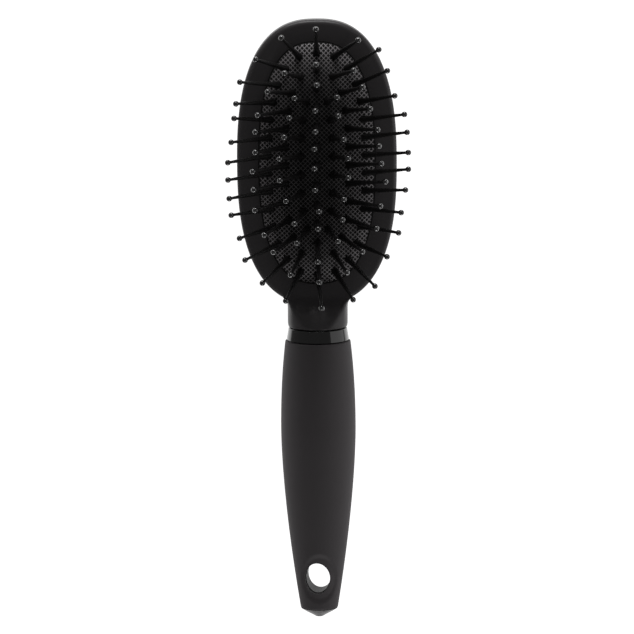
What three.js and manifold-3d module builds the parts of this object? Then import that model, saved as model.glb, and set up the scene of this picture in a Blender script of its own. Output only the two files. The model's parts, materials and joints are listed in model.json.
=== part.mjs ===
// Oval cushion brush: a moulded head and neck, an air cushion with tilting ball-tipped pins,
// a glossy collar and a soft-touch handle with a hanging hole.
//
// Millimetres. The brush lies on its back: +Z is up, out through the pins, +Y runs from the
// handle to the top of the head, and X is across. The origin is under the middle of the brush,
// on the surface that it lies on.

import * as THREE from 'three';
import { mergeVertices } from 'three/addons/utils/BufferGeometryUtils.js';
import Module from 'manifold-3d';

const wasm = await Module();
wasm.setup();

// ---------------------------------------------------------------- driving dimensions

const clearance = 0.3; // gap between pieces that meet

// Head: a superellipse in plan, flat rim in front, domed back with a flat land
const headLength = 112.8;
const headWidth = 63;
const headThickness = 17.5;
const ovalPower = 2.5;
const ridgeRadius = 6.5; // inside this the nested ovals close up to a point
const backRiseWidth = 17.5;
const backRiseHeight = 9.5;
const rimRound = 2;
const rimWidth = 8.4;
const pocketFloor = 5;

// Neck and the tang that carries the handle
const neckLength = 8.9;
const neckDiameter = 23.8;
const neckEdge = 0.45;
const neckFlare = 2.6;
const coveRadius = 10.2;
const coveStart = 0.8; // how far past the head's lower end the hollow starts
const tangDiameter = 17;
const tangLength = 36;

// Cushion
const domeHeight = 8.5;
const domePower = 2.4;
const padWall = 1.3;
const padShoulder = 1;
const skirtLength = 9;

// Ring that holds the cushion's skirt
const ringWall = 1.4;
const ringDrop = 4.8; // from the rim's face down to the ring's top

// Pins
const pinLength = 21; // cushion to the middle of the ball
const ballRadius = 1.15;
const tipRadius = 0.6;
const neckDrop = 0.92; // from the ball's middle down to the stem's thin end
const stemRadius = 0.95;
const shoulderRadius = 1.5;
const shoulderHeight = 0.9;
const stemStart = 4.5;
const shankRadius = 0.8;
const footRadius = 1.55;
const footThickness = 0.9;
const footDrop = 0.7; // gap under the cushion's inner face
const pinHoleRadius = 1.3;
const pinHoleDepth = 7.8; // half of it above the cushion
const webRadius = 0.45;
const outerRingInset = 4; // outer ring of pins from the cushion's edge
const ringCounts = [30, 24, 18];
const pinsPerStrip = 3;
const centreCount = 7;
const sideLean = 1.08; // tangent of the lean of the outermost pins at the sides
const sideLeanPower = 1.2;
const endLean = 0.42; // and at the top and bottom
const endLeanPower = 3;

// Collar
const collarLength = 4.9;
const collarFront = 23.4;
const collarRear = 24.8;

// Grip: round in front, flatter towards the end
const gripLength = 109;
const gripFront = 25.9;
const gripBelly = 29.8;
const gripDepth = 29.7;
const gripEnd = 14.9;
const gripEndDepth = 11.6;
const bellyAt = 36; // from the grip's front end
const frontPower = 2.2;
const taperPower = 1.6;
const depthPower = 1.35;
const gripEdge = 0.9;
const sleeveWall = 1.8;
const coreWall = 2.2;

// Hanging hole
const holeWidth = 10;
const holeLength = 13.1;
const holeFromEnd = 13.3; // hole's middle from the grip's rear end
const holeStep = 0.4; // the sleeve's opening is wider than the core's by this

// End plug
const plugLength = 3.5;
const plugTip = 2.1;
const stemOfPlug = 2.2;
const stemOfPlugLength = 2.6;

// Facets
const ovalSides = 36;
const barrelSides = 24;
const pinSides = 5;
const holeSides = 24;
const outlineSteps = 1440; // for measuring along an oval

// ---------------------------------------------------------------- derived places

const totalLength =
  headLength + neckLength + collarLength + gripLength + plugLength + 3 * clearance;
const headTop = totalLength / 2;
const headCentre = headTop - headLength / 2;
const headEnd = headTop - headLength;
const neckEnd = headEnd - neckLength;
const collarStart = neckEnd - clearance;
const collarEnd = collarStart - collarLength;
const gripStart = collarEnd - clearance;
const gripStop = gripStart - gripLength;
const plugFace = gripStop - clearance;
const plugStop = plugFace - plugLength;
const axisHeight = gripDepth / 2;
const ovalStretch = (headLength - headWidth) / 2;
const pocketRadius = headWidth / 2 - rimWidth;
const padRadius = pocketRadius - clearance;
const holeCentre = gripStop + holeFromEnd;

// ---------------------------------------------------------------- solids

function solidOf(geometry) {
  geometry.deleteAttribute('normal');
  geometry.deleteAttribute('uv');
  const merged = mergeVertices(geometry);
  const corner = merged.index.array;
  const kept = [];
  for (let i = 0; i < corner.length; i += 3) {
    const [a, b, c] = [corner[i], corner[i + 1], corner[i + 2]];
    if (a !== b && b !== c && c !== a) kept.push(a, b, c);
  }
  const mesh = new wasm.Mesh({
    numProp: 3,
    vertProperties: new Float32Array(merged.attributes.position.array),
    triVerts: new Uint32Array(kept),
  });
  return new wasm.Manifold(mesh);
}

function meshOf(solid, name, material) {
  const { vertProperties, triVerts } = solid.getMesh();
  const geometry = new THREE.BufferGeometry();
  geometry.setAttribute('position', new THREE.BufferAttribute(new Float32Array(vertProperties), 3));
  geometry.setIndex(new THREE.BufferAttribute(new Uint32Array(triVerts), 1));
  geometry.computeVertexNormals();
  const mesh = new THREE.Mesh(geometry, material.clone());
  mesh.name = name;
  return mesh;
}

function moveVertices(geometry, move) {
  const position = geometry.attributes.position;
  const point = new THREE.Vector3();
  for (let i = 0; i < position.count; i += 1) {
    point.fromBufferAttribute(position, i);
    move(point);
    position.setXYZ(i, point.x, point.y, point.z);
  }
  return geometry;
}

const profilePoints = (pairs) => pairs.map(([radius, along]) => new THREE.Vector2(radius, along));

const steps = (count) => Array.from({ length: count + 1 }, (_, i) => i / count);

// ---------------------------------------------------------------- nested ovals of the head

const power = (value, exponent) => Math.sign(value) * Math.abs(value) ** exponent;

const ovalHalfLength = (radius) => radius + ovalStretch * Math.min(1, radius / ridgeRadius);

function ovalPoint(radius, angle) {
  const x = radius * power(Math.cos(angle), 2 / ovalPower);
  const y = ovalHalfLength(radius) * power(Math.sin(angle), 2 / ovalPower);
  return [x, y];
}

// Half the width of the oval that passes through a point
function ovalRadiusAt(x, y) {
  let low = 0;
  let high = headWidth;
  while (high - low > 1e-6) {
    const middle = (low + high) / 2;
    const across = (Math.abs(x) / middle) ** ovalPower;
    const along = (Math.abs(y) / ovalHalfLength(middle)) ** ovalPower;
    if (across + along > 1) low = middle;
    else high = middle;
  }
  return high;
}

// A profile of [half width, height] swept round the head's oval
function ovalSolid(pairs) {
  const geometry = new THREE.LatheGeometry(profilePoints(pairs), ovalSides);
  geometry.rotateX(Math.PI / 2);
  moveVertices(geometry, (point) => {
    const radius = Math.hypot(point.x, point.y);
    const [x, y] = ovalPoint(radius, Math.atan2(point.y, point.x));
    point.set(x, headCentre + y, point.z);
  });
  return solidOf(geometry);
}

// ---------------------------------------------------------------- round pieces along the handle

// A profile of [radius, y] turned about the handle's axis; reshape may flatten it
function barrelSolid(pairs, reshape = () => {}) {
  const geometry = new THREE.LatheGeometry(profilePoints(pairs), barrelSides);
  moveVertices(geometry, reshape);
  geometry.translate(0, 0, axisHeight);
  return solidOf(geometry);
}

const fromGripStart = (y) => gripStart - y;

function gripTaper(largest, front, end, endPower, along) {
  if (along < bellyAt) {
    return largest - (largest - front) * ((bellyAt - along) / bellyAt) ** frontPower;
  }
  const share = Math.min(1, (along - bellyAt) / (gripLength - bellyAt));
  return largest - (largest - end) * share ** endPower;
}

const gripRadius = (along) => gripTaper(gripBelly, gripFront, gripEnd, taperPower, along) / 2;

const gripHalfDepth = (along) => gripTaper(gripDepth, gripFront, gripEndDepth, depthPower, along) / 2;

// The grip is less deep than wide: walls keep their thickness as the section flattens
function flattenGrip(point) {
  const along = fromGripStart(point.y);
  const radius = Math.hypot(point.x, point.z);
  const flatten = Math.max(0, gripRadius(along) - gripHalfDepth(along));
  if (radius > flatten) point.z *= (radius - flatten) / radius;
}

// ---------------------------------------------------------------- materials

const plastic = (color, roughness) => new THREE.MeshStandardMaterial({ color, roughness, metalness: 0 });
const bodyPlastic = plastic(0x1c1c1d, 0.5);
const cushionRubber = plastic(0x2b2b2c, 0.8);
const pinNylon = plastic(0x0e0e0f, 0.3);
const collarGloss = plastic(0x08080a, 0.08);
const gripSoftTouch = plastic(0x2a2a2b, 0.75);
const corePlastic = plastic(0x1a1a1b, 0.55);

// ---------------------------------------------------------------- head

function headShell() {
  const half = headWidth / 2;
  const land = half - backRiseWidth;
  const back = steps(6).map((t) => {
    const angle = (t * Math.PI) / 2;
    return [land + backRiseWidth * Math.sin(angle), backRiseHeight * (1 - Math.cos(angle))];
  });
  const edge = steps(3).map((t) => {
    const angle = (t * Math.PI) / 2;
    const inset = rimRound * (1 - Math.cos(angle));
    return [half - inset, headThickness - rimRound + rimRound * Math.sin(angle)];
  });
  return ovalSolid([[0, 0], ...back, ...edge, [0, headThickness]]);
}

function neckAndTang() {
  const neck = neckDiameter / 2;
  const tang = tangDiameter / 2;
  const flareEnd = headEnd + neckFlare + coveStart;
  const profile = [
    [0, neckEnd - tangLength],
    [tang - 1, neckEnd - tangLength],
    [tang, neckEnd - tangLength + 1],
    [tang, neckEnd],
    [neck - neckEdge, neckEnd],
    [neck - neckEdge / 3, neckEnd + 1],
    [neck, neckEnd + 2.1],
    [neck, headEnd - 1.7],
    [neck + neckFlare * 0.2, headEnd + 0.4],
    [neck + neckFlare * 0.6, headEnd + 2.2],
    [neck + neckFlare, flareEnd],
    [tang, flareEnd + 4],
    [0, flareEnd + 4],
  ];
  // The neck widens to the sides but not downwards
  return barrelSolid(profile, (point) => {
    point.z = Math.max(point.z, -neck);
  });
}

// Everything in front of the rim's plane, with a cove where the rim runs up onto the neck
function frontCut() {
  const far = headLength + neckDiameter;
  const coveY = headEnd + coveStart;
  const coveZ = headThickness + coveRadius;
  const outline = new THREE.Shape();
  outline.moveTo(coveY - coveRadius, far);
  outline.absarc(coveY, coveZ, coveRadius, Math.PI, 1.5 * Math.PI, false);
  outline.lineTo(headTop + far, headThickness);
  outline.lineTo(headTop + far, far);
  const options = { depth: 2 * headWidth, bevelEnabled: false, curveSegments: 10 };
  const geometry = new THREE.ExtrudeGeometry(outline, options);
  geometry.translate(0, 0, -headWidth);
  const turn = new THREE.Matrix4().makeBasis(
    new THREE.Vector3(0, 1, 0),
    new THREE.Vector3(0, 0, 1),
    new THREE.Vector3(1, 0, 0),
  );
  geometry.applyMatrix4(turn);
  return solidOf(geometry);
}

function pocketCut() {
  return ovalSolid([
    [0, pocketFloor],
    [pocketRadius, pocketFloor],
    [pocketRadius, headThickness - 0.6],
    [pocketRadius + 0.6, headThickness + 0.01],
    [pocketRadius + 0.6, headThickness + 1],
    [0, headThickness + 1],
  ]);
}

function headBody() {
  const shape = headShell().add(neckAndTang()).subtract(frontCut()).subtract(pocketCut());
  return meshOf(shape, 'head_body', bodyPlastic);
}

// ---------------------------------------------------------------- cushion and its ring

const domeAt = (radius) => headThickness + domeHeight * (1 - (radius / padRadius) ** domePower);

const domeSlope = (radius) =>
  ((domeHeight * domePower) / padRadius) * (radius / padRadius) ** (domePower - 1);

const domeUnder = (radius) => domeAt(radius) - padWall * Math.hypot(1, domeSlope(radius));

function cushionShell() {
  const skirtEnd = headThickness - skirtLength;
  const inner = padRadius - padWall;
  const under = steps(6).map((t) => {
    const radius = inner * Math.sin((t * Math.PI) / 2);
    return [radius, domeUnder(radius)];
  });
  const top = steps(7).map((t) => {
    const radius = (padRadius - padShoulder / 2) * Math.cos((t * Math.PI) / 2);
    return [t === 1 ? 0 : radius, domeAt(radius)];
  });
  return ovalSolid([
    ...under,
    [inner, skirtEnd],
    [padRadius, skirtEnd],
    [padRadius, headThickness - padShoulder],
    ...top,
  ]);
}

function padRing() {
  const outer = padRadius - padWall - clearance;
  const bottom = pocketFloor + clearance;
  const seat = headThickness - skirtLength - clearance;
  const top = headThickness - ringDrop;
  const shape = ovalSolid([
    [outer - ringWall, bottom],
    [padRadius, bottom],
    [padRadius, seat],
    [outer, seat],
    [outer, top],
    [outer - ringWall, top],
    [outer - ringWall, bottom],
  ]);
  return meshOf(shape, 'pad_ring', corePlastic);
}

// ---------------------------------------------------------------- pins

// Points at equal distances along an oval, the first at its top
function ringPoints(radius, count) {
  const outline = steps(outlineSteps).map((t) => {
    const [x, y] = ovalPoint(radius, Math.PI / 2 - t * 2 * Math.PI);
    return new THREE.Vector2(x, y);
  });
  const lengths = [0];
  for (let i = 1; i <= outlineSteps; i += 1) {
    lengths.push(lengths[i - 1] + outline[i].distanceTo(outline[i - 1]));
  }
  return Array.from({ length: count }, (_, k) => {
    const target = (k / count) * lengths[outlineSteps];
    const i = lengths.findIndex((length) => length > target) - 1;
    const share = (target - lengths[i]) / (lengths[i + 1] - lengths[i]);
    return outline[i].clone().lerp(outline[i + 1], share);
  });
}

// The rings of pins divide the way from the middle to the outermost ring equally, and the
// middle row keeps one pitch clear of the innermost ring's ends
const outerRadius = padRadius - outerRingInset;
const ringPitch = outerRadius / ringCounts.length;
const centrePitch = (2 * ovalHalfLength(ringPitch)) / (centreCount + 1);

// Where a pin stands on the cushion and which way it points
function pinPlace({ x, y }) {
  const leanX = sideLean * power(x / outerRadius, sideLeanPower);
  const leanY = endLean * power(y / ovalHalfLength(outerRadius), endLeanPower);
  const base = new THREE.Vector3(x, headCentre + y, domeAt(ovalRadiusAt(x, y)));
  const direction = new THREE.Vector3(leanX, leanY, 1).normalize();
  return { base, direction };
}

// A geometry made along +Y, set on a pin's base along its direction
function alongPin(geometry, { base, direction }) {
  const turn = new THREE.Quaternion().setFromUnitVectors(new THREE.Vector3(0, 1, 0), direction);
  geometry.applyQuaternion(turn);
  geometry.translate(base.x, base.y, base.z);
  return solidOf(geometry);
}

const footTop = -(padWall + footDrop);
const footBottom = footTop - footThickness;

function pinSolid(place) {
  const profile = profilePoints([
    [0, footBottom],
    [footRadius, footBottom],
    [shankRadius, footTop],
    [shankRadius, shoulderHeight - clearance],
    [shoulderRadius, shoulderHeight],
    [stemRadius, stemStart],
    [tipRadius, pinLength - neckDrop],
    [ballRadius, pinLength],
    [0, pinLength + ballRadius],
  ]);
  return alongPin(new THREE.LatheGeometry(profile, pinSides), place);
}

function pinHole(place) {
  const rod = new THREE.CylinderGeometry(pinHoleRadius, pinHoleRadius, pinHoleDepth, pinSides);
  return alongPin(rod, place);
}

const footCentre = ({ base, direction }) =>
  base.clone().addScaledVector(direction, footBottom + footThickness / 3);

// The thin three-sided bar between two neighbouring feet
function webSolid(one, other) {
  const from = footCentre(one);
  const to = footCentre(other);
  const along = to.clone().sub(from);
  const length = along.length();
  along.normalize();
  const up = one.direction.clone().add(other.direction).projectOnPlane(along).normalize();
  const across = new THREE.Vector3().crossVectors(along, up);
  const geometry = new THREE.CylinderGeometry(webRadius, webRadius, length, 3);
  geometry.applyMatrix4(new THREE.Matrix4().makeBasis(across, along, up));
  const middle = from.add(to).multiplyScalar(0.5);
  geometry.translate(middle.x, middle.y, middle.z);
  return solidOf(geometry);
}

// Pins that share one strip under the cushion. The strip tilts about the line through them.
function pinStrip(name, places) {
  let shape = pinSolid(places[0]);
  for (let i = 1; i < places.length; i += 1) {
    shape = shape.add(pinSolid(places[i])).add(webSolid(places[i - 1], places[i]));
  }
  const strip = meshOf(shape, name, pinNylon);
  const middle = places[(places.length - 1) / 2].base;
  const ends = places[places.length - 1].base.clone().sub(places[0].base);
  strip.userData = { pivot: middle.toArray(), axis: ends.setZ(0).normalize().toArray() };
  return strip;
}

function ringStrips(ringName, ring) {
  const points = ringPoints(outerRadius - ring * ringPitch, ringCounts[ring]);
  const places = points.map(pinPlace);
  const count = places.length;
  const side = (pinsPerStrip - 1) / 2;
  return Array.from({ length: count / pinsPerStrip }, (_, k) => {
    const members = [];
    for (let i = -side; i <= side; i += 1) {
      members.push(places[(k * pinsPerStrip + i + count) % count]);
    }
    const label = String(k + 1).padStart(2, '0');
    return { name: `pins_${ringName}_${label}`, members };
  });
}

function centreStrip() {
  const middle = (centreCount - 1) / 2;
  const members = Array.from({ length: centreCount }, (_, i) =>
    pinPlace({ x: 0, y: (i - middle) * centrePitch }),
  );
  return { name: 'pins_centre_row', members };
}

const strips = [
  ...ringStrips('outer', 0),
  ...ringStrips('middle', 1),
  ...ringStrips('inner', 2),
  centreStrip(),
];

function cushionPad() {
  let shape = cushionShell();
  for (const strip of strips) {
    for (const place of strip.members) {
      shape = shape.subtract(pinHole(place));
    }
  }
  return meshOf(shape, 'cushion_pad', cushionRubber);
}

// ---------------------------------------------------------------- collar and handle

const tangBore = tangDiameter / 2 + clearance;

function collarRing() {
  const front = collarFront / 2;
  const rear = collarRear / 2;
  const shape = barrelSolid([
    [tangBore, collarEnd],
    [rear - 0.2, collarEnd],
    [rear, collarEnd + 0.4],
    [front, collarStart - 0.4],
    [front - 0.2, collarStart],
    [tangBore, collarStart],
    [tangBore, collarEnd],
  ]);
  return meshOf(shape, 'collar_ring', collarGloss);
}

// Stations along the grip, closer together where it turns
const gripStations = [0.012, 0.05, 0.12, 0.22, 0.33, 0.44, 0.54, 0.63, 0.72, 0.81, 0.9, 0.992];

function gripOutline(offset) {
  const bulk = gripStations.map((share) => {
    const along = share * gripLength;
    return [gripRadius(along) - offset, gripStart - along];
  });
  return bulk.reverse();
}

function holeCut(step) {
  const geometry = new THREE.CylinderGeometry(1, 1, 2 * gripDepth, holeSides);
  geometry.rotateX(Math.PI / 2);
  geometry.scale(holeWidth / 2 + step, holeLength / 2 + step, 1);
  geometry.translate(0, holeCentre, axisHeight);
  return solidOf(geometry);
}

function gripSleeve() {
  const front = gripRadius(0);
  const rear = gripRadius(gripLength);
  const inside = gripOutline(sleeveWall).reverse();
  const shape = barrelSolid(
    [
      [rear - sleeveWall, gripStop],
      [rear - gripEdge, gripStop],
      ...gripOutline(0),
      [front - gripEdge, gripStart],
      [front - sleeveWall, gripStart],
      ...inside,
      [rear - sleeveWall, gripStop],
    ],
    flattenGrip,
  );
  return meshOf(shape.subtract(holeCut(holeStep)), 'grip_sleeve', gripSoftTouch);
}

const boreDepth = gripStart - (neckEnd - tangLength) + 2 * clearance;

function coreBore() {
  return barrelSolid([
    [0, gripStart - boreDepth],
    [tangBore, gripStart - boreDepth],
    [tangBore, gripStart + 1],
    [0, gripStart + 1],
  ]);
}

// The hollow behind the tang, which runs into the tang's bore
function coreHollow() {
  const start = boreDepth - coreWall;
  const stop = gripLength - holeFromEnd - holeLength / 2 - 3 * coreWall;
  const offset = sleeveWall + clearance + coreWall;
  const wall = steps(4).map((t) => {
    const along = stop + (start - stop) * t;
    return [Math.min(gripHalfDepth(along) - offset, tangBore), gripStart - along];
  });
  return barrelSolid([[0, gripStart - stop], ...wall, [0, gripStart - start]]);
}

function plugBore() {
  const radius = stemOfPlug + clearance;
  const depth = stemOfPlugLength + clearance;
  return barrelSolid([
    [0, gripStop - 1],
    [radius, gripStop - 1],
    [radius, gripStop + depth],
    [0, gripStop + depth],
  ]);
}

function handleCore() {
  const offset = sleeveWall + clearance;
  const front = gripRadius(0) - offset;
  const rear = gripRadius(gripLength) - offset;
  const shape = barrelSolid(
    [[0, gripStop], [rear, gripStop], ...gripOutline(offset), [front, gripStart], [0, gripStart]],
    flattenGrip,
  );
  const hollow = shape.subtract(coreBore()).subtract(coreHollow()).subtract(plugBore());
  return meshOf(hollow.subtract(holeCut(0)), 'handle_core', corePlastic);
}

function endPlug() {
  const rim = gripEnd / 2 - 0.4;
  const inside = plugFace + stemOfPlugLength + clearance;
  const flatness = gripEndDepth / gripEnd;
  const shape = barrelSolid(
    [
      [0, plugStop],
      [plugTip * 0.7, plugStop + 0.25],
      [plugTip, plugStop + 0.8],
      [rim - 0.2, plugFace - 0.5],
      [rim, plugFace],
      [stemOfPlug, plugFace],
      [stemOfPlug, inside],
      [0, inside],
    ],
    (point) => {
      if (Math.hypot(point.x, point.z) > stemOfPlug) point.z *= flatness;
    },
  );
  return meshOf(shape, 'end_plug', corePlastic);
}

// ---------------------------------------------------------------- assembly

const brush = new THREE.Group();
brush.name = 'cushion_brush';
brush.add(headBody(), cushionPad(), padRing());
for (const { name, members } of strips) {
  brush.add(pinStrip(name, members));
}
brush.add(collarRing(), handleCore(), gripSleeve(), endPlug());

export default brush;
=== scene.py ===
# %% [markdown]
# # An oval cushion brush
#
# This lesson builds the looks of a black cushion brush in Blender: a moulded head with a domed rubber
# cushion, 79 ball-tipped pins, a polished collar and a soft-touch handle with a hanging hole. The
# engineering model is already packed. It says where every part is and how it moves, so the script
# starts by loading it, and each new piece is told which body it rides on, and the part it replaces is
# hidden.
#
# The brush lies on its back. X is across, Y runs from the handle to the top of the head, and Z is up,
# out through the pins. Blender works in metres, so sizes are written in millimetres times `MM`.

# %% Load the imported model
import json
import math

import bpy
from mathutils import Matrix, Vector


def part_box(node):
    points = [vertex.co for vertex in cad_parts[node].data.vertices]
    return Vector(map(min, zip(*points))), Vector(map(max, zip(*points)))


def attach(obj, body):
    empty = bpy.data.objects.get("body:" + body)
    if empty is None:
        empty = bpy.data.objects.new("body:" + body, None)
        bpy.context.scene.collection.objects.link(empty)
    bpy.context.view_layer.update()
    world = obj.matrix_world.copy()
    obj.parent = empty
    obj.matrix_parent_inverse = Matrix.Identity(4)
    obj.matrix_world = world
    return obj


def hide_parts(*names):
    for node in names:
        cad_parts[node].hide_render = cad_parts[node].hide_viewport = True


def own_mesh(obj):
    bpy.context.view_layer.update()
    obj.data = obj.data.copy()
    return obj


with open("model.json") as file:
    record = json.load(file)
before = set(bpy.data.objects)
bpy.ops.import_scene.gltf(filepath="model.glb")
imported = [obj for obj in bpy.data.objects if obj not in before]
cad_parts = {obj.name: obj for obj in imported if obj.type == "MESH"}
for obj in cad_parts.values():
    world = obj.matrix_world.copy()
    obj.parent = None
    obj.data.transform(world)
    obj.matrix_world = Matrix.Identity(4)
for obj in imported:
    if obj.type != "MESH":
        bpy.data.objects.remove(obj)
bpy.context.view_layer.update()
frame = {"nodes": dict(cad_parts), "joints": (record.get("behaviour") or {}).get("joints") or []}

MM = 0.001

# %% [markdown]
# ## Sizes taken from the frame
#
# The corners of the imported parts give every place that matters: how wide and long the oval is, where
# the neck ends, and how high the handle's middle lies. Only shapes that a box can't tell, such as how
# round an edge is, are written here as values of their own.

# %% Places and sizes
head_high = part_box("head_body")[1]
pad_low, pad_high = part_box("cushion_pad")
collar_low, collar_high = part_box("collar_ring")
grip_low, grip_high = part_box("grip_sleeve")
plug_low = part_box("end_plug")[0]

GAP = 0.3 * MM
TINY = 0.001 * MM
OVAL_POWER = 2.5
head_half = head_high.x
pad_half = pad_high.x
head_centre = (pad_low.y + pad_high.y) / 2
stretch = (pad_high.y - pad_low.y) / 2 - pad_half
head_end = 2 * head_centre - head_high.y
neck_end = collar_high.y + GAP
axis_height = (grip_low.z + grip_high.z) / 2
grip_start = grip_high.y
grip_stop = grip_low.y
DOME_HEIGHT = 8.5 * MM
rim_height = pad_high.z - DOME_HEIGHT
pocket_half = pad_half + GAP / 2
print("head", round(2 * head_half / MM, 1), "mm wide,")
print("cushion", round(2 * pad_half / MM, 1), "mm wide,")
print("handle", round((grip_start - grip_stop) / MM, 1), "mm long")

# %% [markdown]
# ## Helpers for working as by hand
#
# An operator acts on whatever is selected, so each step starts by letting go of everything. These
# helpers pick one piece, apply a modifier, cut or join with a Boolean, and shade by angle.

# %% Selection and modifiers
def let_go():
    if bpy.context.object and bpy.context.object.mode != "OBJECT":
        bpy.ops.object.mode_set(mode="OBJECT")
    bpy.ops.object.select_all(action="DESELECT")


def pick(piece):
    let_go()
    piece.select_set(True)
    bpy.context.view_layer.objects.active = piece


def apply_modifier(piece, kind, **settings):
    modifier = piece.modifiers.new(kind.lower(), kind)
    for setting, value in settings.items():
        setattr(modifier, setting, value)
    pick(piece)
    bpy.ops.object.modifier_apply(modifier=modifier.name)


def combine(piece, tool, operation):
    apply_modifier(piece, "BOOLEAN", object=tool, operation=operation, solver="EXACT")
    bpy.data.objects.remove(tool, do_unlink=True)


def smooth(piece, degrees=32):
    pick(piece)
    bpy.ops.object.shade_smooth_by_angle(angle=math.radians(degrees))


print("helpers for picking, modifiers and shading are ready")

# %% [markdown]
# Nearly every piece of the brush is round or oval all along. The main helper draws one ring, then pulls
# it along and scales it, station by station, which is how a turned or lofted shape grows under the
# hand: extrude, move, scale. Spin would only make round pieces, and these are mostly oval.

# %% Growing a shape from a ring
def signed_power(value, exponent):
    return math.copysign(abs(value) ** exponent, value)


def grow(name, stations, along="Y", sides=96, power=2.0, centre=(0, 0), hollow=False):
    """Grows a closed piece through stations: half across, half the other way, place along the axis.
    A hollow one starts and ends with the same station, so it closes on itself like a tube's wall."""
    let_go()
    fill = "NOTHING" if hollow else "NGON"
    bpy.ops.mesh.primitive_circle_add(vertices=sides, radius=1, fill_type=fill)
    piece = bpy.context.object
    piece.name = name
    half_a, half_b, place = stations[0]
    for index, vertex in enumerate(piece.data.vertices):
        angle = 2 * math.pi * index / sides
        a = centre[0] + half_a * signed_power(math.cos(angle), 2 / power)
        b = centre[1] + half_b * signed_power(math.sin(angle), 2 / power)
        vertex.co = (a, b, place) if along == "Z" else (a, place, b)
    bpy.ops.object.mode_set(mode="EDIT")
    bpy.ops.mesh.select_all(action="SELECT")
    for before, after in zip(stations, stations[1:]):
        ratio = (after[0] / before[0], after[1] / before[1])
        step = after[2] - before[2]
        if along == "Z":
            shift, scale = (0, 0, step), (ratio[0], ratio[1], 1)
            middle = (centre[0], centre[1], after[2])
        else:
            shift, scale = (0, step, 0), (ratio[0], 1, ratio[1])
            middle = (centre[0], after[2], centre[1])
        bpy.ops.mesh.extrude_region_move(TRANSFORM_OT_translate={"value": shift})
        bpy.ops.transform.resize(value=scale, center_override=middle)
    bpy.ops.mesh.select_all(action="SELECT")
    bpy.ops.mesh.remove_doubles(threshold=TINY)
    bpy.ops.mesh.normals_make_consistent(inside=False)
    bpy.ops.object.mode_set(mode="OBJECT")
    return piece


def quarter(count):
    """Angles from 0 to a right angle, ends included."""
    return [math.pi / 2 * step / count for step in range(count + 1)]


print("a quarter turn in three steps is", [round(math.degrees(angle)) for angle in quarter(3)])


# %% [markdown]
# ## The head
#
# The head and neck are one black plastic moulding. In plan the head is a superellipse, a shape between
# an ellipse and a rounded box. Its rim is flat in front, its back is domed with a flat land in the
# middle, and the front holds an oval pocket for the cushion. All its rings share one centre, so a
# station only needs its half width and height. The last stations turn down into the pocket.

# %% Grow the head's shell and pocket
BACK_REACH = 17.5 * MM
BACK_RISE = 9.5 * MM
RIM_ROUND = 2 * MM
LIP_ROUND = 0.25 * MM
POCKET_FLOOR = 5 * MM
HEAD_SIDES = 192


def oval_station(half, height):
    return (half, half + stretch, height)


stations = []
for angle in quarter(14):
    half = head_half - BACK_REACH * (1 - math.sin(angle))
    stations.append(oval_station(half, BACK_RISE * (1 - math.cos(angle))))
for angle in quarter(7):
    half = head_half - RIM_ROUND * (1 - math.cos(angle))
    stations.append(oval_station(half, rim_height - RIM_ROUND * (1 - math.sin(angle))))
for angle in quarter(4):
    half = pocket_half + LIP_ROUND * (1 - math.sin(angle))
    stations.append(oval_station(half, rim_height - LIP_ROUND * (1 - math.cos(angle))))
stations.append(oval_station(pocket_half, POCKET_FLOOR))
head = grow("head", stations, "Z", sides=HEAD_SIDES, power=OVAL_POWER, centre=(0, head_centre))
print("the head's shell has", len(head.data.polygons), "faces")

# %% [markdown]
# The neck is round and runs on as a tang inside the handle. It could be a cylinder with a bevel, but a
# grown ring also gives the rounded shoulder and the small flare, the inside corner that a mould needs.
# It is joined to the head with a Boolean union. Each row is half the width and the place along Y.

# %% Grow the neck and join it
NECK_HALF = 11.9 * MM
TANG_HALF = 8.5 * MM
TANG_LENGTH = 36 * MM
ROUND_SIDES = 128
tang_end = neck_end - TANG_LENGTH
neck_profile = [
    (TANG_HALF - 1 * MM, tang_end),
    (TANG_HALF, tang_end + 1 * MM),
    (TANG_HALF, neck_end),
    (NECK_HALF - 0.9 * MM, neck_end),
    (NECK_HALF - 0.5 * MM, neck_end + 0.12 * MM),
    (NECK_HALF - 0.2 * MM, neck_end + 0.45 * MM),
    (NECK_HALF - 0.08 * MM, neck_end + 1.1 * MM),
    (NECK_HALF, neck_end + 2 * MM),
    (NECK_HALF, head_end - 1 * MM),
    (NECK_HALF + 0.1 * MM, head_end + 0.3 * MM),
    (NECK_HALF + 0.4 * MM, head_end + 1.2 * MM),
    (NECK_HALF + 1 * MM, head_end + 2.1 * MM),
    (NECK_HALF + 2 * MM, head_end + 3 * MM),
    (NECK_HALF + 2 * MM, head_end + 5.5 * MM),
    (TANG_HALF, head_end + 8 * MM),
]
rings = [(half, half, y) for half, y in neck_profile]
neck = grow("neck", rings, sides=ROUND_SIDES, centre=(0, axis_height))
for vertex in neck.data.vertices:
    vertex.co.z = max(vertex.co.z, axis_height - NECK_HALF)
combine(head, neck, "UNION")
print("head and neck together have", len(head.data.polygons), "faces")

# %% [markdown]
# The rim's flat face climbs onto the round neck in a ramp, which ends in a tongue-shaped facet. The
# facet's edge is soft, as on any moulding. So the cutter's underside follows the ramp where that is
# lower and the neck where that is lower, and goes from one to the other in a small rounding.

# %% The shape of the front
# Places along Y and heights on the ramp, in millimetres.
RAMP_LINE = [(11.6, 17.5), (10.4, 17.75), (9.2, 18.5), (7.5, 20.1), (5.5, 22.0)]
RAMP_LINE += [(3.5, 23.7), (1.4, 25.25), (0.2, 26.05), (-0.8, 26.8), (-3.0, 28.6)]
RAMP_BLUR = 1.6
BLUR_STEPS = 6
SOFT_EDGE = 1.7 * MM
CLEAR = 0.05 * MM


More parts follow.
